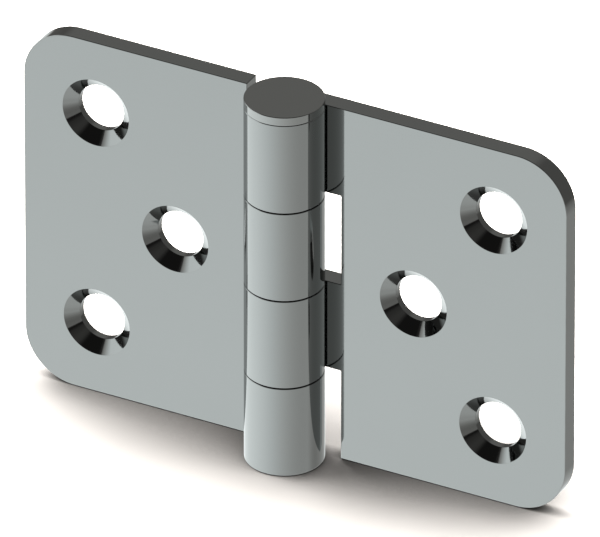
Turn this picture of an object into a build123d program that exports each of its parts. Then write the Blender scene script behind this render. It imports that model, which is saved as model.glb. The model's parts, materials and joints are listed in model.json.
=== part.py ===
"""Sheet metal hinge: two rolled leaves on one headed pin, standing upright and open flat.

Sizes are in millimetres. The origin lies on the pin's axis, level with the leaves' lower
edges. The pin runs along +Z, the leaves reach out along -X and +X, and the countersinks
open towards the front, -Y.
"""
from build123d import *
from math import asin, degrees
import os

# Leaves
leaf_reach = 30.0
leaf_height = 40.0
sheet_thickness = 2.0
corner_radius = 5.5
edge_break = 0.08

# Rolled knuckles, dealt to the two leaves in turn from the bottom up
roll_bore_radius = 2.0
knuckle_count = 4
knuckle_gap = 0.1
notch_clearance = 1.2
seam_gap = 0.2

# Countersunk screw holes, two near the outer edge and one near the barrel
screw_hole_radius = 2.5
countersink_radius = 3.7
countersink_angle = 90.0
hole_edge_margin = 8.0
inner_hole_distance = 13.2

# Pin
pin_clearance = 0.05
head_thickness = 0.95
pin_end_recess = 0.3
pin_end_chamfer = 0.3

# The back face of the sheet is tangent to the barrel, and its front face to the bore
barrel_radius = roll_bore_radius + sheet_thickness
front_face = Plane.XZ.offset(-roll_bore_radius)
knuckle_pitch = leaf_height / knuckle_count
notch_reach = barrel_radius + notch_clearance

# The rolled end comes round to its own leaf and stops a seam's width short of it
seam_angle = degrees(asin((roll_bore_radius - seam_gap) / barrel_radius))
roll_angle = 270 + seam_angle

outer_hole_distance = leaf_reach - hole_edge_margin
hole_places = [
    (outer_hole_distance, hole_edge_margin),
    (outer_hole_distance, leaf_height - hole_edge_margin),
    (inner_hole_distance, leaf_height / 2),
]


def rolled_leaf(side, first_knuckle):
    """One leaf with its rolled knuckles, cut, rolled and countersunk from one sheet.

    side is 1 for the leaf towards +X and -1 for the one towards -X. The leaf holds every
    second knuckle, from first_knuckle up, and is notched for the others.
    """
    with BuildPart() as leaf:
        # Section of the sheet: the flat and the roll in one outline
        with BuildSketch():
            with BuildLine():
                inside = CenterArc((0, 0), roll_bore_radius, 90, side * roll_angle)
                outside = CenterArc((0, 0), barrel_radius, 90, side * roll_angle)
                Line(inside @ 1, outside @ 1)
                front_end = (side * leaf_reach, roll_bore_radius)
                back_end = (side * leaf_reach, barrel_radius)
                Polyline(inside @ 0, front_end, back_end, outside @ 0)
            make_face()
        extrude(amount=leaf_height)

        # Notches, in which the other leaf's knuckles turn
        with BuildSketch(Plane.XZ):
            for knuckle in range(1 - first_knuckle, knuckle_count, 2):
                with Locations((0, (knuckle + 0.5) * knuckle_pitch)):
                    Rectangle(2 * notch_reach, knuckle_pitch + knuckle_gap)
        extrude(amount=barrel_radius, both=True, mode=Mode.SUBTRACT)

        # Rounded outer corners
        across_sheet = leaf.edges().filter_by(Axis.Y)
        fillet(across_sheet.group_by(Axis((0, 0, 0), (side, 0, 0)))[-1], radius=corner_radius)

        # Every edge is broken but the lines where the flat runs smoothly into the roll
        upright = leaf.edges().filter_by(Axis.Z)
        chamfer(leaf.edges() - upright.group_by(Axis((0, 0, 0), (side, 0, 0)))[0], length=edge_break)

        # Countersunk screw holes, opening at the front face
        with Locations(front_face):
            with Locations(*[(side * distance, height) for distance, height in hole_places]):
                CounterSinkHole(
                    radius=screw_hole_radius,
                    counter_sink_radius=countersink_radius,
                    counter_sink_angle=countersink_angle,
                )
    return leaf


leaf_right = rolled_leaf(side=1, first_knuckle=1)
leaf_left = rolled_leaf(side=-1, first_knuckle=0)

# The pin's head is as wide as the barrel and lies on the top knuckle
with BuildPart() as hinge_pin:
    with BuildSketch(Plane.XY.offset(pin_end_recess)):
        Circle(roll_bore_radius - pin_clearance)
    extrude(amount=leaf_height - pin_end_recess)
    with BuildSketch(Plane.XY.offset(leaf_height)):
        Circle(barrel_radius)
    extrude(amount=head_thickness)
    rims = hinge_pin.edges().filter_by(GeomType.CIRCLE)
    chamfer(rims.group_by(SortBy.RADIUS)[-1], length=edge_break)
    chamfer(rims.sort_by(Axis.Z)[0], length=pin_end_chamfer)

os.makedirs("parts", exist_ok=True)
for name, piece in (("leaf_left", leaf_left), ("leaf_right", leaf_right), ("hinge_pin", hinge_pin)):
    piece.part.label = name
    export_step(piece.part, f"parts/{name}.step")
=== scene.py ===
"""Looks of a sheet metal hinge: two rolled leaves on a headed pin, in a plain pale studio.

Lengths are in metres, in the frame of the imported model: the pin's axis is Z, the leaves reach
out along X, and the countersinks open towards the front, -Y.
"""

import cmath
import json
import logging
import math
from collections.abc import Callable, Sequence
from dataclasses import dataclass, field
from enum import Enum
from typing import ClassVar

import bmesh
import bpy
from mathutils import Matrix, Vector
from mathutils.geometry import tessellate_polygon


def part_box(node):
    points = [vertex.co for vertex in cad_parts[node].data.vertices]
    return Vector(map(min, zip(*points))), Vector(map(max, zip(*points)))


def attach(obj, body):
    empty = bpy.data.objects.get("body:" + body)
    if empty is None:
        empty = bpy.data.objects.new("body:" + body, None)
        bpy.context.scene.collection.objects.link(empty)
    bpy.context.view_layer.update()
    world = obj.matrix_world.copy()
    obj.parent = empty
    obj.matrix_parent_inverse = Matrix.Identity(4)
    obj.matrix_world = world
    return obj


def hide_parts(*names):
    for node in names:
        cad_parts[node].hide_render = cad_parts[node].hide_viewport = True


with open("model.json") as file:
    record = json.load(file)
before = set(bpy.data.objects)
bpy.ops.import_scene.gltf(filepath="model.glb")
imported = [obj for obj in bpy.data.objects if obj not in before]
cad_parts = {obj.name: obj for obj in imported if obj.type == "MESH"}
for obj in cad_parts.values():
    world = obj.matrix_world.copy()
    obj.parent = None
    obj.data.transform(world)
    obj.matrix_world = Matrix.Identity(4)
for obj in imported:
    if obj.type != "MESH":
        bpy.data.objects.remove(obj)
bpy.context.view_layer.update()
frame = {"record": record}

log = logging.getLogger("hinge")

Socket = bpy.types.NodeSocket
Inputs = dict[str | int, object]
Colour = tuple[float, float, float]
Stops = tuple[tuple[float, float], ...]

MM = 0.001
NORMAL_ATTRIBUTE = "surface_normal"
EDGE_ATTRIBUTE = "broken_edge"
TRAVEL_ATTRIBUTE = "cutter_travel"
CENTRE_ATTRIBUTE = "hole_centre"


class Side(Enum):
    """The two leaves, with the sign of the X direction that each reaches out in."""

    LEFT = -1
    RIGHT = 1


class Grain(Enum):
    """How the fine marks of a finish run."""

    ROLLED = "round the pin and along the sheet"
    TURNED = "in rings about the pin's axis"


# Meshes


@dataclass(frozen=True)
class ProfilePoint:
    """One point of a turned profile, with the outward normal in the profile's plane."""

    radius: float
    height: float
    normal_out: float
    normal_up: float
    on_edge: float


def rounded_profile(
    corners: Sequence[tuple[float, float, float]], arc_steps: int
) -> list[ProfilePoint]:
    """Rounds the corners of a profile that runs with the solid on its left.

    Args:
        corners: radius, height and rounding radius of each corner, the ends included.
        arc_steps: how many steps each rounding takes.

    Returns:
        The profile's points, in order.
    """
    found: list[ProfilePoint] = []
    places = [Vector((radius, height)) for radius, height, _ in corners]
    for i, place in enumerate(places):
        into = (place - places[i - 1]).normalized() if i else (places[1] - place).normalized()
        out_of = (places[i + 1] - place).normalized() if i + 1 < len(places) else into
        turn = math.atan2(into.x * out_of.y - into.y * out_of.x, into.dot(out_of))
        rounding = corners[i][2]
        start_normal = Vector((into.y, -into.x))
        if not turn or not rounding:
            found.append(ProfilePoint(place.x, place.y, start_normal.x, start_normal.y, 0.0))
            continue
        bulge = math.copysign(rounding, turn)
        centre = place - into * rounding * math.tan(abs(turn) / 2) - start_normal * bulge
        for step in range(arc_steps + 1):
            turned = complex(*start_normal) * cmath.rect(1.0, turn * step / arc_steps)
            normal = Vector((turned.real, turned.imag))
            point = centre + normal * bulge
            on_edge = float(0 < step < arc_steps)
            found.append(ProfilePoint(point.x, point.y, normal.x, normal.y, on_edge))
    return found


@dataclass
class MeshDraft:
    """Points and faces that are gathered before they become a mesh.

    Every point keeps the true normal of the surface there, says how far it lies on a broken
    edge, from 0 to 1, and how far a cutter had gone when it cut the surface there.
    """

    points: list[Vector] = field(default_factory=list)
    normals: list[Vector] = field(default_factory=list)
    edges: list[float] = field(default_factory=list)
    travels: list[float] = field(default_factory=list)
    centres: list[float] = field(default_factory=list)
    faces: list[tuple[int, ...]] = field(default_factory=list)

    def add_point(
        self,
        place: Vector,
        normal: Vector,
        on_edge: float = 0.0,
        travel: float = 0.0,
        is_centre: bool = False,
    ) -> int:
        """Adds one point.

        Args:
            place: where the point lies.
            normal: the surface's outward normal there.
            on_edge: 1 on a broken edge, 0 elsewhere.
            travel: how far the cutter had gone, 0 where nothing was cut.
            is_centre: whether this is a loose point at the centre of a hole.

        Returns:
            The point's index.
        """
        self.points.append(place)
        self.normals.append(normal.normalized())
        self.edges.append(on_edge)
        self.travels.append(travel)
        self.centres.append(float(is_centre))
        return len(self.points) - 1

    def join_rings(self, first: Sequence[int], second: Sequence[int]) -> None:
        """Closes the band between two rings of as many points, which run the same way.

        A pole is a ring of one point, repeated.

        Args:
            first: the ring that the profile reaches first.
            second: the ring that it reaches next, with the solid on its left.
        """
        count = len(first)
        for i in range(count):
            j = (i + 1) % count
            self.faces.append(tuple(dict.fromkeys((first[i], first[j], second[j], second[i]))))

    def turn(
        self,
        profile: Sequence[ProfilePoint],
        steps: int,
        to_space: Callable[[float, float, float], Vector],
        is_cut: bool = False,
    ) -> None:
        """Turns a profile about its axis.

        Args:
            profile: the points, with the solid on the left of the way they run.
            steps: how many steps a full turn takes.
            to_space: turns (across, along, up) of the profile into a direction or place.
            is_cut: whether a cutter made the surface, so that its travel is kept.
        """
        rings: list[list[int]] = []
        travel = 0.0
        before = profile[0]
        for point in profile:
            length = math.hypot(point.radius - before.radius, point.height - before.height)
            travel += length * is_cut
            before = point
            ring = []
            for step in range(steps if point.radius else 1):
                angle = 2 * math.pi * step / steps
                ray = (math.cos(angle), math.sin(angle))
                place = to_space(*(point.radius * part for part in ray), point.height)
                normal = to_space(*(point.normal_out * part for part in ray), point.normal_up)
                ring.append(self.add_point(place, normal, point.on_edge, travel))
            rings.append(ring if point.radius else ring * steps)
        for first, second in zip(rings, rings[1:]):
            self.join_rings(first, second)

    def to_mesh(self, name: str) -> bpy.types.Mesh:
        """Makes the mesh, with what each point keeps as attributes.

        Args:
            name: the mesh's name.

        Returns:
            The new mesh.
        """
        mesh = bpy.data.meshes.new(name)
        mesh.from_pydata(self.points, [], self.faces)
        normals = mesh.attributes.new(NORMAL_ATTRIBUTE, "FLOAT_VECTOR", "POINT")
        normals.data.foreach_set("vector", [value for normal in self.normals for value in normal])
        names = (EDGE_ATTRIBUTE, TRAVEL_ATTRIBUTE, CENTRE_ATTRIBUTE)
        for attribute, values in zip(names, (self.edges, self.travels, self.centres)):
            mesh.attributes.new(attribute, "FLOAT", "POINT").data.foreach_set("value", values)
        return mesh


def new_object(name: str, data: bpy.types.ID) -> bpy.types.Object:
    """Links a new object to the scene.

    Args:
        name: the object's name.
        data: its mesh, lamp or camera.

    Returns:
        The object, at the origin.
    """
    made = bpy.data.objects.new(name, data)
    bpy.context.scene.collection.objects.link(made)
    return made


def set_true_normals(mesh: bpy.types.Mesh, normals: Sequence[Vector]) -> None:
    """Shades a mesh smoothly, with the given normal at each vertex.

    Args:
        mesh: the finished mesh.
        normals: one for each vertex.
    """
    mesh.polygons.foreach_set("use_smooth", [True] * len(mesh.polygons))
    mesh.normals_split_custom_set_from_vertices(normals)


# Sizes


@dataclass(frozen=True)
class HingeSizes:
    """The hinge's sizes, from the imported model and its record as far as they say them."""

    reach: float
    height: float
    barrel_radius: float
    head_top: float
    pin_foot: float
    hole_radius: float
    hole_places: tuple[tuple[float, float], ...]
    sheet: float = 2.0 * MM
    corner_radius: float = 5.5 * MM
    notch_clearance: float = 1.2 * MM
    knuckles: int = 4
    knuckle_gap: float = 0.1 * MM
    seam_gap: float = 0.2 * MM
    countersink_radius: float = 3.7 * MM
    pin_clearance: float = 0.05 * MM
    pin_foot_chamfer: float = 0.3 * MM
    edge_round: float = 0.08 * MM
    plan_corner_round: float = 0.1 * MM

    @classmethod
    def from_frame(cls) -> "HingeSizes":
        """Reads the sizes that the frame gives.

        Returns:
            The sizes of the hinge.
        """
        low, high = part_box("leaf_right")
        pin_low, pin_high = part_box("hinge_pin")
        bores = [
            mount
            for mount in frame["record"]["mounts"]
            if mount["kind"] == "bore" and mount["pos_m"][0] > 0
        ]
        return cls(
            reach=high.x,
            height=high.z,
            barrel_radius=high.y,
            head_top=pin_high.z,
            pin_foot=pin_low.z,
            hole_radius=bores[0]["dims"]["r_mm"] * MM,
            hole_places=tuple((bore["pos_m"][0], bore["pos_m"][2]) for bore in bores),
        )

    @property
    def bore_radius(self) -> float:
        """Inside radius of the roll."""
        return self.barrel_radius - self.sheet

    @property
    def knuckle_pitch(self) -> float:
        """Height that each knuckle takes up."""
        return self.height / self.knuckles

    @property
    def notch_reach(self) -> float:
        """How far from the pin's axis the notches end."""
        return self.barrel_radius + self.notch_clearance

    @property
    def roll_angle(self) -> float:
        """How far the sheet turns round the pin, up to the seam."""
        return 1.5 * math.pi + math.asin((self.bore_radius - self.seam_gap) / self.barrel_radius)

    @property
    def roll_length(self) -> float:
        """Length of the roll along its outside."""
        return self.roll_angle * self.barrel_radius


# The leaves


@dataclass(frozen=True)
class PlanCorner:
    """A rounded corner of the flat leaf's outline, about a centre that an inset doesn't move."""

    along: float
    up: float
    radius: float
    from_angle: float
    to_angle: float
    steps: int

    @property
    def is_hollow(self) -> bool:
        """Whether this is the inner corner of a notch."""
        return self.to_angle < self.from_angle

    def points(self, inset: float) -> list[tuple[Vector, Vector]]:
        """The corner's points on the outline that lies inset from the edge.

        Args:
            inset: how far inside the edge the outline runs.

        Returns:
            Places and outward directions, as (along, up).
        """
        way = -1 if self.is_hollow else 1
        radius = self.radius - way * inset
        found = []
        for step in range(self.steps + 1):
            angle = self.from_angle + (self.to_angle - self.from_angle) * step / self.steps
            ray = Vector((math.cos(angle), math.sin(angle)))
            found.append((Vector((self.along, self.up)) + ray * radius, ray * way))
        return found


@dataclass
class RolledLeaf:
    """One leaf: a sheet with rounded corners, notches and countersunk holes, rolled at one side.

    The leaf is drawn flat, with x along the sheet (negative in the roll), y through it from its
    front face and z up. A geometry node tree sets in the linings of the screw holes and rolls
    the sheet round the pin.
    """

    sizes: HingeSizes
    side: Side
    first_knuckle: int
    column_angle: float = math.radians(2.5)
    lining_steps: int = 96
    outer_corner_steps: int = 24
    small_corner_steps: int = 3
    edge_steps: int = 4
    draft: MeshDraft = field(default_factory=MeshDraft, init=False)

    @property
    def name(self) -> str:
        """The piece's name."""
        return f"rolled_leaf_{self.side.name.lower()}"

    @property
    def node(self) -> str:
        """The CAD node that the piece stands for."""
        return f"leaf_{self.side.name.lower()}"

    def knuckle_spans(self) -> list[tuple[float, float]]:
        """Finds where the leaf's own knuckles are.

        Returns:
            Lower and upper end of each, from the top down.
        """
        sizes = self.sizes
        spans = []
        for knuckle in range(self.first_knuckle, sizes.knuckles, 2):
            low = knuckle * sizes.knuckle_pitch + (sizes.knuckle_gap / 2 if knuckle else 0)
            is_top = knuckle == sizes.knuckles - 1
            high = (knuckle + 1) * sizes.knuckle_pitch - (0 if is_top else sizes.knuckle_gap / 2)
            spans.append((low, high))
        return spans[::-1]

    def corners(self) -> list[PlanCorner]:
        """The outline's corners, anticlockwise as seen from the front.

        Returns:
            The corners, from the upper outer one to the lower.
        """
        sizes = self.sizes
        quarter = math.pi / 2
        radius = sizes.corner_radius
        steps = self.outer_corner_steps
        upper, lower = (
            PlanCorner(sizes.reach - radius, up, radius, start, start + quarter, steps)
            for up, start in ((sizes.height - radius, 0.0), (radius, -quarter))
        )
        roll_end = -sizes.roll_length
        spans = self.knuckle_spans()
        tips: list[tuple[float, float, float, float]] = []
        if spans[0][1] < sizes.height:
            tips.append((sizes.notch_reach, sizes.height, quarter, quarter))
        for low, high in spans:
            if high < sizes.height:
                tips.append((sizes.notch_reach, high, 0.0, -quarter))
            tips.append((roll_end, high, quarter, quarter))
            tips.append((roll_end, low, math.pi, quarter))
            if low > 0:
                tips.append((sizes.notch_reach, low, quarter, -quarter))
        if spans[-1][0] > 0:
            tips.append((sizes.notch_reach, 0.0, math.pi, quarter))
        return [upper, *(self.small_corner(*tip) for tip in tips), lower]

    def small_corner(self, along: float, up: float, from_angle: float, turn: float) -> PlanCorner:
        """A sheared corner of the outline, barely rounded.

        Args:
            along: how far along the sheet its tip lies.
            up: how high its tip lies.
            from_angle: direction of the edge's normal before the corner.
            turn: how far the normal turns, which is negative in a notch.

        Returns:
            The corner.
        """
        radius = self.sizes.plan_corner_round
        middle = from_angle + turn / 2
        shift = Vector((math.cos(middle), math.sin(middle))) * radius * math.sqrt(2)
        ends = (from_angle, from_angle + turn)
        return PlanCorner(along - shift.x, up - shift.y, radius, *ends, self.small_corner_steps)

    def columns_between(self, start: float, end: float) -> list[float]:
        """The columns of the roll that lie strictly between two places along the sheet.

        Args:
            start: where the outline leaves one corner.
            end: where it reaches the next.

        Returns:
            Their places along the sheet, in the outline's order.
        """
        width = self.column_angle * self.sizes.barrel_radius
        count = math.ceil(self.sizes.roll_length / width)
        # A column closer to the seam than a quarter of its width would leave slivers.
        low, high = min(start, end) + width / 4, max(start, end)
        found = [-width * i for i in range(count) if low < -width * i < high]
        return found if start > end else found[::-1]

    def outline(self, inset: float) -> list[tuple[Vector, Vector]]:
        """The flat leaf's outline, with as many points for every inset.

        Args:
            inset: how far inside the edge the outline runs.

        Returns:
            Places and outward directions, as (along, up), anticlockwise from the front.
        """
        corners = self.corners()
        found: list[tuple[Vector, Vector]] = []
        for corner, following in zip(corners, corners[1:] + corners[:1]):
            found += corner.points(inset)
            place, outward = found[-1]
            end = following.points(inset)[0][0]
            columns = self.columns_between(place.x, end.x)
            found += [(Vector((along, place.y)), outward) for along in columns]
        return found

    def rim_ring(self, tilt: float, at_back: bool) -> list[int]:
        """Adds one ring of the rim, on the rounded edge of one face.

        Args:
            tilt: angle of the edge's normal, from the outward direction towards the back.
            at_back: whether the ring lies on the back face's edge.

        Returns:
            The ring's point indices.
        """
        rounding = self.sizes.edge_round
        centre = self.sizes.sheet - rounding if at_back else rounding
        depth = centre + rounding * math.sin(tilt)
        on_edge = math.sin(2 * abs(tilt))
        return [
            self.draft.add_point(
                Vector((place.x, depth, place.y)),
                Vector((outward.x * math.cos(tilt), math.sin(tilt), outward.y * math.cos(tilt))),
                on_edge,
            )
            for place, outward in self.outline(rounding * (1 - math.cos(tilt)))
        ]

    def fill_face(self, ring: Sequence[int], opening: float, at_back: bool) -> None:
        """Fills one face of the sheet: rungs across the rolls, triangles round the openings.

        Args:
            ring: the rim's ring that bounds the face.
            opening: radius of the opening at each screw hole.
            at_back: whether this is the back face.
        """
        points = self.draft.points
        flat: list[int] = []
        rolled: list[int] = []
        for point in ring:
            if points[point].x <= 0:
                rolled.append(point)
                continue
            if rolled:
                half = len(rolled) // 2
                rungs = list(zip(rolled[:half], rolled[::-1]))
                for (upper, lower), (next_upper, next_lower) in zip(rungs, rungs[1:]):
                    self.add_face((upper, next_upper, next_lower, lower), at_back)
                flat += [rolled[0], rolled[-1]]
                rolled = []
            flat.append(point)

        depth = self.sizes.sheet if at_back else 0.0
        normal = Vector((0, 1 if at_back else -1, 0))
        angles = [2 * math.pi * step / self.lining_steps for step in range(self.lining_steps)]
        loops = [flat]
        for along, up in self.sizes.hole_places:
            rim = (
                (along + opening * math.cos(angle), depth, up + opening * math.sin(angle))
                for angle in angles
            )
            loops.append([self.draft.add_point(Vector(place), normal) for place in rim])
        members = [point for loop in loops for point in loop]
        outlines = [
            [Vector((points[point].x, points[point].z, 0)) / MM for point in loop] for loop in loops
        ]
        places = [place for outline in outlines for place in outline]
        for corners in tessellate_polygon(outlines):
            first, second, third = (places[corner] for corner in corners)
            is_anticlockwise = (second - first).cross(third - first).z > 0
            in_order = corners if is_anticlockwise else corners[::-1]
            self.add_face(tuple(members[corner] for corner in in_order), at_back)

    def add_face(self, corners: tuple[int, ...], at_back: bool) -> None:
        """Adds a face that is anticlockwise from the front, turned round at the back."""
        self.draft.faces.append(corners[::-1] if at_back else corners)

    def draw(self, lining: "HoleLining") -> None:
        """Draws the sheet flat, with openings and a loose point at each hole's centre.

        Args:
            lining: the lining that goes into each opening.
        """
        quarter = math.pi / 2
        tilts = [quarter * (1 - step / self.edge_steps) for step in range(self.edge_steps + 1)]
        rings = [self.rim_ring(tilt, at_back=True) for tilt in tilts]
        rings += [self.rim_ring(-tilt, at_back=False) for tilt in tilts[::-1]]
        for first, second in zip(rings, rings[1:]):
            self.draft.join_rings(first, second)
        self.fill_face(rings[0], lining.back_opening, at_back=True)
        self.fill_face(rings[-1], lining.front_opening, at_back=False)
        for along, up in self.sizes.hole_places:
            self.draft.add_point(Vector((along, 0, up)), Vector((0, -1, 0)), is_centre=True)

    def build(self, finish: bpy.types.Material) -> bpy.types.Object:
        """Draws the sheet and rolls it round the pin.

        Args:
            finish: the leaf's material.

        Returns:
            The finished leaf as a plain mesh.
        """
        lining = HoleLining(self.sizes, self.lining_steps)
        self.draw(lining)
        leaf = new_object(self.name, self.draft.to_mesh(self.name))
        lining_object = new_object("hole_lining", lining.turned().to_mesh("hole_lining"))
        inputs = {
            "Hole Lining": lining_object,
            "Side": float(self.side.value),
            "Bore Radius": self.sizes.bore_radius,
            "Roll Radius": self.sizes.barrel_radius,
            "Finish": finish,
        }
        mesh = RollTree().apply(leaf, inputs)
        normals = mesh.attributes[NORMAL_ATTRIBUTE].data
        set_true_normals(mesh, [Vector(item.vector) for item in normals])
        leaf.data = mesh
        bpy.data.objects.remove(lining_object)
        return leaf


@dataclass(frozen=True)
class HoleLining:
    """Countersink and bore of one screw hole, about its centre on the sheet's front face."""

    sizes: HingeSizes
    steps: int
    rim_round: float = 0.06 * MM
    face_ring: float = 0.15 * MM
    arc_steps: int = 4

    @property
    def front_opening(self) -> float:
        """Radius of the opening that the lining fills in the front face."""
        return self.sizes.countersink_radius + self.face_ring

    @property
    def back_opening(self) -> float:
        """Radius of the opening that the lining fills in the back face."""
        return self.sizes.hole_radius + self.face_ring

    def turned(self) -> MeshDraft:
        """Turns the lining's profile about the hole's axis.

        Returns:
            The lining.
        """
        sizes = self.sizes
        cone_foot = sizes.hole_radius - sizes.countersink_radius
        corners = [
            (self.front_opening, 0.0, 0.0),
            (sizes.countersink_radius, 0.0, self.rim_round),
            (sizes.hole_radius, cone_foot, self.rim_round),
            (sizes.hole_radius, -sizes.sheet, self.rim_round),
            (self.back_opening, -sizes.sheet, 0.0),
        ]
        profile = rounded_profile(corners, self.arc_steps)
        draft = MeshDraft()
        draft.turn(profile, self.steps, lambda a, b, up: Vector((a, -up, b)), is_cut=True)
        return draft


# Node trees


class NodeDraft:
    """Adds and wires the nodes of one tree."""

    def __init__(self, tree: bpy.types.NodeTree) -> None:
        """Starts on a tree, which is emptied."""
        self.tree = tree
        tree.nodes.clear()

    def node(self, kind: str, inputs: Inputs | None = None, **settings: object) -> bpy.types.Node:
        """Adds a node.

        Args:
            kind: the node's type.
            inputs: sockets to link from, and values to set, by name or index.
            settings: the node's other properties.

        Returns:
            The new node.
        """
        made = self.tree.nodes.new(kind)
        for name, value in settings.items():
            setattr(made, name, value)
        for name, value in (inputs or {}).items():
            if isinstance(value, Socket):
                self.tree.links.new(value, made.inputs[name])
            else:
                made.inputs[name].default_value = value
        return made

    def math(self, operation: str, *values: object, clamp: bool = False) -> Socket:
        """Adds a sum, product or other operation on numbers.

        Args:
            operation: the operation's name.
            values: sockets or numbers.
            clamp: whether the result is kept between 0 and 1.

        Returns:
            The result's socket.
        """
        inputs = dict(enumerate(values))
        return self.node("ShaderNodeMath", inputs, operation=operation, use_clamp=clamp).outputs[0]

    def vector(self, operation: str, *values: object) -> Socket:
        """Adds an operation on vectors.

        Args:
            operation: the operation's name.
            values: sockets or vectors, the second a number where it scales the first.

        Returns:
            The resulting vector's or number's socket.
        """
        inputs = dict(zip((0, "Scale" if operation == "SCALE" else 1), values))
        made = self.node("ShaderNodeVectorMath", inputs, operation=operation)
        return made.outputs["Value" if operation == "DOT_PRODUCT" else "Vector"]

    def mix(self, share: Socket, first: object, second: object) -> Socket:
        """Mixes two numbers or two colours.

        Args:
            share: how much of the second there is.
            first: a number, its socket or a colour.
            second: what the first is mixed with.

        Returns:
            The mixture's socket.
        """
        # The node keeps its numbers at sockets 2 and 3, and its colours at 6 and 7.
        if isinstance(first, tuple):
            colours = {0: share, 6: (*first, 1.0), 7: (*second, 1.0)}
            return self.node("ShaderNodeMix", colours, data_type="RGBA").outputs[2]
        numbers = {0: share, 2: first, 3: second}
        return self.node("ShaderNodeMix", numbers, data_type="FLOAT").outputs[0]

    def between(
        self, value: Socket, start: float, end: float, low: float = 0.0, high: float = 1.0
    ) -> Socket:
        """Maps a number smoothly from one range to another.

        Args:
            value: the number's socket.
            start: the value that gives low.
            end: the value that gives high.
            low: the result up to start.
            high: the result from end on.

        Returns:
            The result's socket.
        """
        inputs = {"Value": value, "From Min": start, "From Max": end, "To Min": low, "To Max": high}
        return self.node("ShaderNodeMapRange", inputs, interpolation_type="SMOOTHSTEP").outputs[0]

    def noise(self, place: Socket, scale: object, detail: float, roughness: float = 0.5) -> Socket:
        """Adds noise.

        Args:
            place: where the noise is read.
            scale: how fine it is.
            detail: how many finer layers it has.
            roughness: how strong each finer layer is.

        Returns:
            The noise's socket.
        """
        inputs = {"Vector": place, "Scale": scale, "Detail": detail, "Roughness": roughness}
        return self.node("ShaderNodeTexNoise", inputs).outputs["Fac"]

    def combined(self, x: object = 0.0, y: object = 0.0, z: object = 0.0) -> Socket:
        """A vector of three sockets or numbers."""
        return self.node("ShaderNodeCombineXYZ", {"X": x, "Y": y, "Z": z}).outputs[0]

    def attribute(self, name: str) -> Socket:
        """The number that a mesh keeps under a name, for a material."""
        return self.node("ShaderNodeAttribute", attribute_name=name).outputs["Fac"]

    def is_seen(self) -> Socket:
        """Tells what is seen, by the camera or in metal or glass, from what only lights others.

        Returns:
            A socket that is 1 where it is seen.
        """
        path = self.node("ShaderNodeLightPath").outputs
        seen = self.math("MAXIMUM", path["Is Camera Ray"], path["Is Glossy Ray"])
        return self.math("MAXIMUM", seen, path["Is Transmission Ray"])


class NamedTree:
    """A node tree with named inputs and one output."""

    def __init__(
        self, name: str, kind: str, inputs: dict[str, str | float], output: tuple[str, str]
    ) -> None:
        """Makes the tree and its sockets.

        Args:
            name: the tree's name.
            kind: Geometry or Shader.
            inputs: each input's type, or the value that a number starts from.
            output: the output's name and type.
        """
        self.tree = bpy.data.node_groups.new(name, f"{kind}NodeTree")
        self.identifiers: dict[str, str] = {}
        sockets = self.tree.interface
        for label, value in inputs.items():
            is_number = isinstance(value, float)
            socket_type = f"NodeSocket{'Float' if is_number else value}"
            made = sockets.new_socket(label, in_out="INPUT", socket_type=socket_type)
            if is_number:
                made.default_value = value
            self.identifiers[label] = made.identifier
        sockets.new_socket(output[0], in_out="OUTPUT", socket_type=f"NodeSocket{output[1]}")
        self.draft = NodeDraft(self.tree)
        self.given = self.draft.node("NodeGroupInput").outputs

    def placed(self, nodes: NodeDraft, inputs: Inputs) -> Socket:
        """Places a shader group in a material and gives its output."""
        return nodes.node("ShaderNodeGroup", inputs, node_tree=self.tree).outputs[0]


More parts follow.
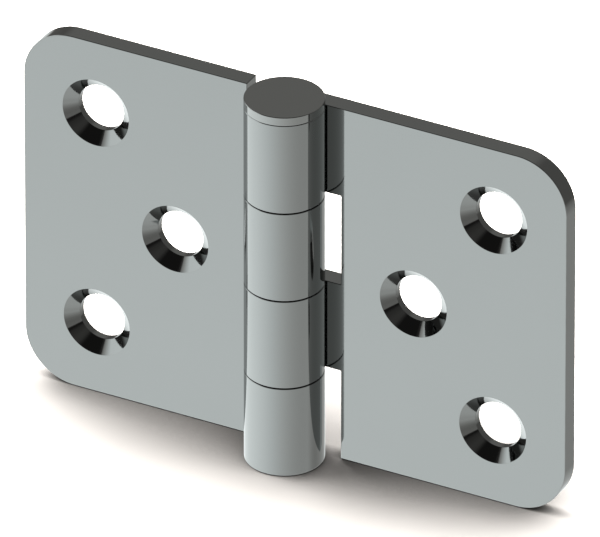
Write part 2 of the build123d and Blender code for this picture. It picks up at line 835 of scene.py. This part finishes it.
class RollTree(NamedTree):
    """Geometry node tree that lines the holes of a flat sheet and rolls it round the pin."""

    weld: ClassVar[float] = 0.001 * MM

    def __init__(self) -> None:
        """Builds the tree."""
        inputs = {
            "Sheet": "Geometry",
            "Hole Lining": "Object",
            "Side": "Float",
            "Bore Radius": "Float",
            "Roll Radius": "Float",
            "Finish": "Material",
        }
        super().__init__("line_holes_and_roll", "Geometry", inputs, ("Leaf", "Geometry"))
        rolled = self.roll(self.line_holes())
        plain = self.draft.node("GeometryNodeRealizeInstances", {"Geometry": rolled}).outputs[0]
        dressing = {"Geometry": plain, "Material": self.given["Finish"]}
        dressed = self.draft.node("GeometryNodeSetMaterial", dressing).outputs[0]
        self.draft.node("NodeGroupOutput", {"Leaf": dressed})

    def line_holes(self) -> Socket:
        """Sets a lining in each opening and welds it to the sheet.

        Returns:
            The lined flat sheet.
        """
        draft, given = self.draft, self.given
        apart = draft.node(
            "GeometryNodeSeparateGeometry",
            {"Geometry": given["Sheet"], "Selection": self.read(CENTRE_ATTRIBUTE, "FLOAT")},
            domain="POINT",
        )
        lining = draft.node("GeometryNodeObjectInfo", {"Object": given["Hole Lining"]})
        linings = draft.node(
            "GeometryNodeInstanceOnPoints",
            {"Points": apart.outputs["Selection"], "Instance": lining.outputs["Geometry"]},
        )
        plain = draft.node("GeometryNodeRealizeInstances", {"Geometry": linings.outputs[0]})
        joined = draft.node("GeometryNodeJoinGeometry", {0: plain.outputs[0]})
        self.tree.links.new(apart.outputs["Inverted"], joined.inputs[0])
        welding = {"Geometry": joined.outputs[0], "Distance": self.weld}
        return draft.node("GeometryNodeMergeByDistance", welding).outputs[0]

    def roll(self, lined: Socket) -> Socket:
        """Rolls what lies at negative x round the pin, and mirrors the leaf to its side.

        Args:
            lined: the lined flat sheet.

        Returns:
            The rolled leaf.
        """
        draft, given = self.draft, self.given
        place = draft.node("GeometryNodeInputPosition").outputs[0]
        x, y, z = draft.node("ShaderNodeSeparateXYZ", {0: place}).outputs
        into_roll = draft.math("MAXIMUM", draft.math("MULTIPLY", x, -1.0), 0.0)
        angle = draft.math("DIVIDE", into_roll, given["Roll Radius"])
        mirror = draft.combined(given["Side"], 1.0, 1.0)
        beyond_bore = draft.math("ADD", y, given["Bore Radius"])
        start = draft.combined(draft.math("MAXIMUM", x, 0.0), beyond_bore, z)
        turned = []
        for vector in (start, self.read(NORMAL_ATTRIBUTE, "FLOAT_VECTOR")):
            turning = {"Vector": vector, "Angle": angle}
            turn = draft.node("ShaderNodeVectorRotate", turning, rotation_type="Z_AXIS")
            turned.append(draft.vector("MULTIPLY", turn.outputs[0], mirror))
        position, normal = turned
        kept = draft.node(
            "GeometryNodeStoreNamedAttribute",
            {"Geometry": lined, "Name": NORMAL_ATTRIBUTE, "Value": normal},
            data_type="FLOAT_VECTOR",
            domain="POINT",
        )
        move = {"Geometry": kept.outputs[0], "Position": position}
        moved = draft.node("GeometryNodeSetPosition", move).outputs[0]
        sign = {"A": given["Side"], "B": 0.0}
        is_mirrored = draft.node("FunctionNodeCompare", sign, operation="LESS_THAN").outputs[0]
        flip = {"Mesh": moved, "Selection": is_mirrored}
        return draft.node("GeometryNodeFlipFaces", flip).outputs[0]

    def read(self, name: str, kind: str) -> Socket:
        """Reads an attribute of the mesh."""
        reader = self.draft.node("GeometryNodeInputNamedAttribute", {"Name": name}, data_type=kind)
        return reader.outputs[0]

    def apply(self, carrier: bpy.types.Object, inputs: Inputs) -> bpy.types.Mesh:
        """Runs the tree on an object, which is left without a modifier.

        Args:
            carrier: the object whose mesh the tree starts from.
            inputs: values for the tree's inputs, by name.

        Returns:
            The result as a plain mesh.
        """
        modifier = carrier.modifiers.new("roll", "NODES")
        modifier.node_group = self.tree
        for name, value in inputs.items():
            modifier[self.identifiers[name]] = value
        evaluated = carrier.evaluated_get(bpy.context.evaluated_depsgraph_get())
        mesh = bpy.data.meshes.new_from_object(evaluated)
        mesh.name = carrier.name
        carrier.modifiers.remove(modifier)
        return mesh


# The pin


@dataclass
class HeadedPin:
    """The hinge's pin, with a flat round head on the top knuckle and a chamfered foot."""

    sizes: HingeSizes
    steps: int = 192
    arc_steps: int = 4

    name: ClassVar[str] = "headed_pin"
    node: ClassVar[str] = "hinge_pin"

    def build(self, finish: bpy.types.Material) -> bpy.types.Object:
        """Turns the pin's profile about the hinge's axis.

        Args:
            finish: the pin's material.

        Returns:
            The finished pin.
        """
        sizes = self.sizes
        shank = sizes.bore_radius - sizes.pin_clearance
        foot = shank - sizes.pin_foot_chamfer
        soft = sizes.edge_round
        corners = [
            (0.0, sizes.pin_foot, 0.0),
            (foot, sizes.pin_foot, soft),
            (shank, sizes.pin_foot + sizes.pin_foot_chamfer, soft),
            (shank, sizes.height, 0.0),
            (sizes.barrel_radius, sizes.height, soft),
            (sizes.barrel_radius, sizes.head_top, soft),
            (0.0, sizes.head_top, 0.0),
        ]
        draft = MeshDraft()
        profile = rounded_profile(corners, self.arc_steps)
        draft.turn(profile, self.steps, lambda a, b, up: Vector((a, b, up)))
        mesh = draft.to_mesh(self.name)
        set_true_normals(mesh, draft.normals)
        mesh.materials.append(finish)
        return new_object(self.name, mesh)


# Finishes


def new_material(
    name: str, kind: type[NodeDraft] = NodeDraft
) -> tuple[bpy.types.Material, NodeDraft]:
    """Makes a material that has no nodes yet.

    Args:
        name: the material's name.
        kind: the class of the draft.

    Returns:
        The material and the draft of its nodes.
    """
    material = bpy.data.materials.new(name)
    material.use_nodes = True
    return material, kind(material.node_tree)


class MarksGroup(NamedTree):
    """Shader node group with the fine marks of a rolled or turned metal surface."""

    detail: ClassVar[float] = 3.0
    roughness: ClassVar[float] = 0.6

    def __init__(self, grain: Grain) -> None:
        """Builds the group.

        Args:
            grain: how the marks run.
        """
        inputs = {"Place": "Vector", "Fineness": 4000.0, "Stretch": 0.04}
        super().__init__(f"marks_{grain.name.lower()}", "Shader", inputs, ("Marks", "Float"))
        draft, given = self.draft, self.given
        if grain is Grain.ROLLED:
            squeeze = draft.combined(given["Stretch"], given["Stretch"], 1.0)
            run = draft.vector("MULTIPLY", given["Place"], squeeze)
        else:
            x, y, z = draft.node("ShaderNodeSeparateXYZ", {0: given["Place"]}).outputs
            squares = (draft.math("MULTIPLY", part, part) for part in (x, y))
            radius = draft.math("SQRT", draft.math("ADD", *squares))
            run = draft.combined(radius, z=z)
        fine = draft.vector("SCALE", run, given["Fineness"])
        marks = draft.noise(fine, 1.0, self.detail, self.roughness)
        draft.node("NodeGroupOutput", {"Marks": marks})


class HandlingGroup(NamedTree):
    """Shader node group with soft patches, where a finish was polished more or less."""

    detail: ClassVar[float] = 4.0
    roughness: ClassVar[float] = 0.55
    noise_range: ClassVar[tuple[float, float]] = (0.35, 0.65)

    def __init__(self) -> None:
        """Builds the group."""
        inputs = {"Place": "Vector", "Patch Scale": 120.0}
        super().__init__("handling", "Shader", inputs, ("Patches", "Float"))
        place, scale = self.given["Place"], self.given["Patch Scale"]
        noise = self.draft.noise(place, scale, self.detail, self.roughness)
        patches = self.draft.between(noise, *self.noise_range)
        self.draft.node("NodeGroupOutput", {"Patches": patches})


class EdgeWearGroup(NamedTree):
    """Shader node group with a mask of the broken edges, uneven as wear leaves them."""

    scale: ClassVar[float] = 900.0
    detail: ClassVar[float] = 3.0
    noise_range: ClassVar[tuple[float, float]] = (0.3, 0.7)
    least_wear: ClassVar[float] = 0.4

    def __init__(self) -> None:
        """Builds the group."""
        inputs = {"Edge": "Float", "Place": "Vector", "Amount": 1.0}
        super().__init__("edge_wear", "Shader", inputs, ("Wear", "Float"))
        draft, given = self.draft, self.given
        noise = draft.noise(given["Place"], self.scale, self.detail)
        uneven = draft.between(noise, *self.noise_range, self.least_wear, 1.0)
        worn = draft.math("MULTIPLY", given["Edge"], uneven)
        worn = draft.math("MULTIPLY", worn, given["Amount"], clamp=True)
        draft.node("NodeGroupOutput", {"Wear": worn})


@dataclass(frozen=True)
class PolishedSteel:
    """Bright steel with the fine marks of its making, polished a little more on its edges.

    The marks and the patches move its roughness between smoothest and roughest. Where a cutter
    went, the marks are rings that follow its travel.
    """

    name: str
    grain: Grain
    colour: Colour
    worn_colour: Colour
    smoothest: float
    roughest: float
    mark_height: float
    mark_strength: float = 0.25
    mark_share: float = 0.5
    patch_share: float = 0.5
    fineness: float = 4500.0
    ring_start: float = 0.1 * MM
    ring_detail: float = 2.0

    def build(self, wear: EdgeWearGroup, handling: HandlingGroup) -> bpy.types.Material:
        """Builds the material.

        Args:
            wear: the edge wear that all finishes share.
            handling: the polishing patches that all finishes share.

        Returns:
            The material.
        """
        material, nodes = new_material(self.name)
        place = nodes.node("ShaderNodeTexCoord").outputs["Object"]
        travel = nodes.attribute(TRAVEL_ATTRIBUTE)
        along_cut = nodes.combined(nodes.math("MULTIPLY", travel, self.fineness))
        rings = nodes.noise(along_cut, 1.0, self.ring_detail)
        marks = MarksGroup(self.grain).placed(nodes, {"Place": place, "Fineness": self.fineness})
        marks = nodes.mix(nodes.between(travel, 0.0, self.ring_start), marks, rings)
        patches = handling.placed(nodes, {"Place": place})
        worn = wear.placed(nodes, {"Edge": nodes.attribute(EDGE_ATTRIBUTE), "Place": place})

        colour = nodes.mix(worn, self.colour, self.worn_colour)
        shares = ((marks, self.mark_share), (patches, self.patch_share))
        uneven = nodes.math("ADD", *(nodes.math("MULTIPLY", *share) for share in shares))
        span = self.roughest - self.smoothest
        roughness = nodes.math("MULTIPLY_ADD", uneven, span, self.smoothest)
        relief = {"Strength": self.mark_strength, "Distance": self.mark_height, "Height": marks}
        bump = nodes.node("ShaderNodeBump", relief).outputs[0]
        shader = nodes.node(
            "ShaderNodeBsdfPrincipled",
            {"Base Color": colour, "Metallic": 1.0, "Roughness": roughness, "Normal": bump},
        )
        nodes.node("ShaderNodeOutputMaterial", {"Surface": shader.outputs[0]})
        return material


# The studio


def direction(azimuth: float, elevation: float) -> Vector:
    """The direction from the object towards a place in the studio.

    Args:
        azimuth: degrees from the front, -Y, towards +X.
        elevation: degrees above the floor.

    Returns:
        The direction, of length 1.
    """
    turn, rise = math.radians(azimuth), math.radians(elevation)
    level = math.cos(rise)
    return Vector((math.sin(turn) * level, -math.cos(turn) * level, math.sin(rise)))


@dataclass(frozen=True)
class Floor:
    """Pale round floor just below the leaves' lower edges.

    Where it is seen, its colour is high enough for the open floor to be white under plain light
    while the hinge's shadow stays. A painted shade also darkens its colour where the hinge closes
    off the space above it.
    """

    radius: float = 1.2
    drop: float = 0.1 * MM
    steps: int = 128
    colour: Colour = (0.9, 0.9, 0.9)
    seen_colour: Colour = (2.93, 2.93, 2.93)
    painted_shade_reach: float = 22.0 * MM
    painted_shade_power: float = 2.17
    painted_shade_least: float = 0.03

    def build(self) -> None:
        """Lays the floor."""
        angles = (2 * math.pi * step / self.steps for step in range(self.steps))
        corners = [
            (self.radius * math.cos(angle), self.radius * math.sin(angle), -self.drop)
            for angle in angles
        ]
        mesh = bpy.data.meshes.new("studio_floor")
        mesh.from_pydata(corners, [], [tuple(range(self.steps))])
        material, nodes = new_material("studio_floor")
        colour = nodes.mix(nodes.is_seen(), self.colour, self.seen_colour)
        # Painted shade: ambient occlusion darkens the floor's colour near the hinge, as a contact
        # shadow on top of the lamps' real shadows.
        openness = nodes.node("ShaderNodeAmbientOcclusion", {"Distance": self.painted_shade_reach})
        shade = nodes.math("POWER", openness.outputs["AO"], self.painted_shade_power)
        shade = nodes.math("MULTIPLY_ADD", shade, 1 - self.painted_shade_least, self.painted_shade_least)
        shaded = nodes.vector("SCALE", colour, shade)
        shader = nodes.node("ShaderNodeBsdfDiffuse", {"Color": shaded})
        nodes.node("ShaderNodeOutputMaterial", {"Surface": shader.outputs[0]})
        mesh.materials.append(material)
        floor = new_object("studio_floor", mesh)
        floor.visible_glossy = False


@dataclass(frozen=True)
class CardPart:
    """A part of the cards that is brighter or darker than the rest.

    It begins softly at half_width degrees from its middle and is full at full_width degrees. It
    is an upright sector, unless it is given an elevation.
    """

    azimuth: float
    half_width: float
    full_width: float
    elevation: float = 0.0


class CardNodes(NodeDraft):
    """Nodes of the cards' material, with the direction from the hinge as seen from there."""

    def __init__(self, tree: bpy.types.NodeTree) -> None:
        """Starts with the direction, the same laid level, and the sine of its elevation.

        Args:
            tree: the material's tree.
        """
        super().__init__(tree)
        place = self.node("ShaderNodeTexCoord").outputs["Object"]
        self.ray = self.vector("NORMALIZE", place)
        self.level = self.vector("NORMALIZE", self.vector("MULTIPLY", self.ray, (1.0, 1.0, 0.0)))
        self.height = self.node("ShaderNodeSeparateXYZ", {0: self.ray}).outputs["Z"]

    def share(self, part: CardPart, low: float = 0.0, high: float = 1.0) -> Socket:
        """How far a direction lies in a part of the cards.

        Args:
            part: the part.
            low: the result outside.
            high: the result in the middle.

        Returns:
            The share, from low to high.
        """
        ray = self.ray if part.elevation else self.level
        beside = self.vector("DOT_PRODUCT", ray, direction(part.azimuth, part.elevation))
        start, end = (math.cos(math.radians(width)) for width in (part.half_width, part.full_width))
        return self.between(beside, start, end, low, high)

    def by_elevation(self, height: Socket, stops: Stops) -> Socket:
        """A brightness that follows the elevation.

        Args:
            height: sine of the elevation.
            stops: elevations in degrees, upwards, each with the brightness there.

        Returns:
            The brightness.
        """
        # Heights from -1 to 1 run over the whole ramp, from 0 to 1.
        brightest = max(value for _, value in stops)
        ramp = self.node("ShaderNodeValToRGB", {0: self.math("MULTIPLY_ADD", height, 0.5, 0.5)})
        elements = ramp.color_ramp.elements
        while len(elements) < len(stops):
            elements.new(1.0)
        for element, (elevation, value) in zip(elements, stops):
            element.position = (math.sin(math.radians(elevation)) + 1) / 2
            element.color = (*[value / brightest] * 3, 1.0)
        return self.math("MULTIPLY", ramp.outputs[0], brightest)


# The lower stops of the fades in front and behind, which are the same.
LOW_CARDS: Stops = (
    (-90.0, 0.8), (-62.0, 0.9), (-55.0, 0.965), (-46.0, 1.0), (-38.0, 0.95), (-31.0, 1.0),
)


@dataclass(frozen=True)
class Cards:
    """Soft grey cards all round, which only metal sees: light low down, dark above.

    They are brightest towards light_azimuth and darker in dark_sector, where they also end lower.
    In the narrow rear_sector they are brighter above rear_heights, which are sines of elevations.
    Over them lies a dim sky, lighter behind and with a patch there, and a tall window of light
    stands at the left. The fades give brightness by elevation in degrees.
    """

    radius: float = 1.5
    steps_round: int = 48
    steps_up: int = 24
    light_azimuth: float = -95.0
    mean: float = 0.99
    swing: float = 0.502
    dark_sector: CardPart = CardPart(azimuth=150.0, half_width=56.6, full_width=14.1)
    dark_loss: float = 0.38
    dark_lift: float = 0.1
    rear_sector: CardPart = CardPart(azimuth=125.0, half_width=14.0, full_width=10.0)
    rear_heights: tuple[float, float] = (-0.375, -0.292)
    rear_gain: float = 2.2
    back_sector: CardPart = CardPart(azimuth=180.0, half_width=95.0, full_width=60.0)
    sky_front: float = 0.014
    sky_back: float = 0.137
    sky_patch: CardPart = CardPart(azimuth=-158.0, half_width=30.0, full_width=12.0, elevation=42.0)
    patch_light: float = 0.093
    window_sector: CardPart = CardPart(azimuth=-74.0, half_width=42.0, full_width=19.0)
    front_fade: Stops = LOW_CARDS + (
        (-23.0, 0.73), (-15.0, 0.5), (-7.0, 0.425), (1.5, 0.45), (4.5, 0.45), (6.5, 0.035),
        (9.5, 0.025), (17.0, 0.082), (32.0, 0.102), (39.0, 0.086), (44.5, 0.032), (49.0, 0.0),
    )
    back_fade: Stops = LOW_CARDS + (
        (-24.5, 0.84), (-20.5, 0.8), (-17.0, 0.7), (-12.4, 0.62), (-7.2, 0.36), (-5.0, 0.12),
        (-3.5, 0.0),
    )
    window_fade: Stops = (
        (-17.0, 0.0), (-6.0, 1.2), (27.0, 1.165), (34.0, 0.84), (40.0, 0.47), (42.0, 0.37),
        (43.2, 0.0),
    )
    warm_card: Colour = (1.0, 0.97, 0.92)
    cool_card: Colour = (0.96, 1.01, 1.01)
    seen_twice: float = 0.6

    def build(self) -> None:
        """Stands the cards round the hinge. The bright ones are cooler than the dark ones."""
        ball = bmesh.new()
        bmesh.ops.create_uvsphere(
            ball, u_segments=self.steps_round, v_segments=self.steps_up, radius=self.radius
        )
        mesh = bpy.data.meshes.new("studio_cards")
        ball.to_mesh(mesh)
        ball.free()
        material, nodes = new_material("studio_cards", CardNodes)
        brightness = self.brightness(nodes)
        colour = nodes.mix(brightness, self.warm_card, self.cool_card)
        path = nodes.node("ShaderNodeLightPath").outputs
        # The ray depth is 1 in a first reflection and 2 in a second, and the diffuse depth
        # keeps the cards off the floor where the metal would throw their light.
        again = nodes.between(path["Ray Depth"], 1.0, 2.0, 1.0, self.seen_twice)
        off_floor = nodes.math("SUBTRACT", 1.0, path["Diffuse Depth"], clamp=True)
        strength = nodes.math("MULTIPLY", nodes.math("MULTIPLY", brightness, again), off_floor)
        shader = nodes.node("ShaderNodeEmission", {"Color": colour, "Strength": strength})
        nodes.node("ShaderNodeOutputMaterial", {"Surface": shader.outputs[0]})
        mesh.materials.append(material)
        cards = new_object("studio_cards", mesh)
        for unseen in ("camera", "diffuse", "transmission", "shadow"):
            setattr(cards, f"visible_{unseen}", False)

    def brightness(self, nodes: CardNodes) -> Socket:
        """Brightness of the cards by direction from the hinge.

        Args:
            nodes: the card material's nodes.

        Returns:
            The brightness.
        """
        facing = nodes.vector("DOT_PRODUCT", nodes.ray, direction(self.light_azimuth, 0.0))
        low = nodes.math("MULTIPLY_ADD", facing, self.swing, self.mean)
        dark = nodes.share(self.dark_sector)
        low = nodes.math("MULTIPLY", low, nodes.math("MULTIPLY_ADD", dark, -self.dark_loss, 1.0))
        rear_height = nodes.between(nodes.height, *self.rear_heights)
        rear = nodes.math("MULTIPLY", nodes.share(self.rear_sector), rear_height)
        low = nodes.math("MULTIPLY", low, nodes.math("MULTIPLY_ADD", rear, self.rear_gain, 1.0))
        shifted = nodes.math("MULTIPLY_ADD", dark, self.dark_lift, nodes.height)
        behind = nodes.share(self.back_sector)
        fades = [nodes.by_elevation(shifted, fade) for fade in (self.front_fade, self.back_fade)]
        low = nodes.math("MULTIPLY", low, nodes.mix(behind, *fades))

        patch = nodes.share(self.sky_patch, self.sky_back, self.sky_back + self.patch_light)
        sky = nodes.mix(behind, self.sky_front, patch)

        window_height = nodes.by_elevation(nodes.height, self.window_fade)
        window = nodes.math("MULTIPLY", nodes.share(self.window_sector), window_height)
        return nodes.math("MAXIMUM", nodes.math("MAXIMUM", low, sky), window)


@dataclass(frozen=True)
class SoftLamp:
    """A broad soft lamp: where it hangs, how wide it looks and its strength."""

    azimuth: float
    elevation: float
    softness: float
    strength: float


@dataclass(frozen=True)
class Studio:
    """Plain soft light on a plain pale floor, with the grey cards that the metal mirrors."""

    floor: Floor = Floor()
    cards: Cards = Cards()
    lamp_colour: Colour = (1.0, 0.95, 0.9)
    ambient: float = 0.427
    lamps: tuple[SoftLamp, ...] = (
        SoftLamp(azimuth=-94.0, elevation=37.3, softness=62.0, strength=2.451),
        SoftLamp(azimuth=123.0, elevation=31.6, softness=62.0, strength=0.696),
    )

    def build(self) -> None:
        """Sets up the floor, the lamps, the cards and the world."""
        self.floor.build()
        self.build_lamps()
        self.cards.build()
        self.build_world()

    def build_lamps(self) -> None:
        """Hangs a strong soft lamp at the left and a weaker one behind to the right."""
        for lamp in self.lamps:
            data = bpy.data.lights.new("soft_lamp", "SUN")
            data.energy = lamp.strength
            data.color = self.lamp_colour
            data.angle = math.radians(lamp.softness)
            hung = new_object("soft_lamp", data)
            towards = direction(lamp.azimuth, lamp.elevation)
            hung.rotation_euler = towards.to_track_quat("Z", "Y").to_euler()
            hung.visible_glossy = False

    def build_world(self) -> None:
        """Makes the world white where it is seen, and elsewhere the light from all round."""
        world = bpy.data.worlds.new("studio")
        world.use_nodes = True
        bpy.context.scene.world = world
        nodes = NodeDraft(world.node_tree)
        lights = (((*self.lamp_colour, 1.0), self.ambient), ((1.0, 1.0, 1.0, 1.0), 1.0))
        around, white = (
            nodes.node("ShaderNodeBackground", {"Color": colour, "Strength": strength}).outputs[0]
            for colour, strength in lights
        )
        mixed = nodes.node("ShaderNodeMixShader", {0: nodes.is_seen(), 1: around, 2: white})
        nodes.node("ShaderNodeOutputWorld", {"Surface": mixed.outputs[0]})


@dataclass(frozen=True)
class PhotoCamera:
    """The camera at the photo's viewing angle, far off, for there is almost no perspective."""

    azimuth: float = 27.735
    elevation: float = 31.098
    aim: tuple[float, float, float] = (0.147 * MM, 3.0 * MM, 19.851 * MM)
    lens: float = 1512.0
    sensor: float = 36.0
    picture_width: float = 58.886 * MM
    clip_ratio: float = 4.0

    def build(self) -> None:
        """Sets the camera up and makes it the scene's."""
        data = bpy.data.cameras.new("photo_camera")
        data.lens = self.lens
        data.sensor_width = self.sensor
        distance = self.picture_width * self.lens / self.sensor
        data.clip_start = distance / self.clip_ratio
        data.clip_end = distance * self.clip_ratio
        camera = new_object("photo_camera", data)
        back = direction(self.azimuth, self.elevation)
        camera.location = Vector(self.aim) + back * distance
        camera.rotation_euler = back.to_track_quat("Z", "Y").to_euler()
        bpy.context.scene.camera = camera


def report(piece: bpy.types.Object) -> None:
    """Logs a finished piece.

    Args:
        piece: the piece.
    """
    mesh = piece.data
    log.info("%s: %d vertices, %d faces", piece.name, len(mesh.vertices), len(mesh.polygons))


def main() -> None:
    """Builds the pieces, the studio and the camera, in that order."""
    logging.basicConfig(level=logging.INFO, format="%(name)s: %(message)s")
    sizes = HingeSizes.from_frame()
    wear, handling = EdgeWearGroup(), HandlingGroup()
    leaf_finish = PolishedSteel(
        name="bright_rolled_steel",
        grain=Grain.ROLLED,
        colour=(0.37, 0.383, 0.379),
        worn_colour=(0.48, 0.495, 0.49),
        smoothest=0.03,
        roughest=0.09,
        mark_height=0.002 * MM,
    ).build(wear, handling)
    pin_finish = PolishedSteel(
        name="bright_turned_steel",
        grain=Grain.TURNED,
        colour=(0.388, 0.398, 0.391),
        worn_colour=(0.48, 0.49, 0.485),
        smoothest=0.04,
        roughest=0.12,
        mark_height=0.003 * MM,
    ).build(wear, handling)

    for side, first_knuckle, body in ((Side.LEFT, 0, "left_side"), (Side.RIGHT, 1, "right_side")):
        leaf = RolledLeaf(sizes, side, first_knuckle)
        piece = leaf.build(leaf_finish)
        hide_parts(leaf.node)
        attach(piece, body)
        report(piece)

    pin = HeadedPin(sizes)
    piece = pin.build(pin_finish)
    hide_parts(pin.node)
    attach(piece, "right_side")
    report(piece)

    Studio().build()
    PhotoCamera().build()
    bpy.context.scene.view_settings.view_transform = "Standard"


if __name__ == "__main__":
    main()
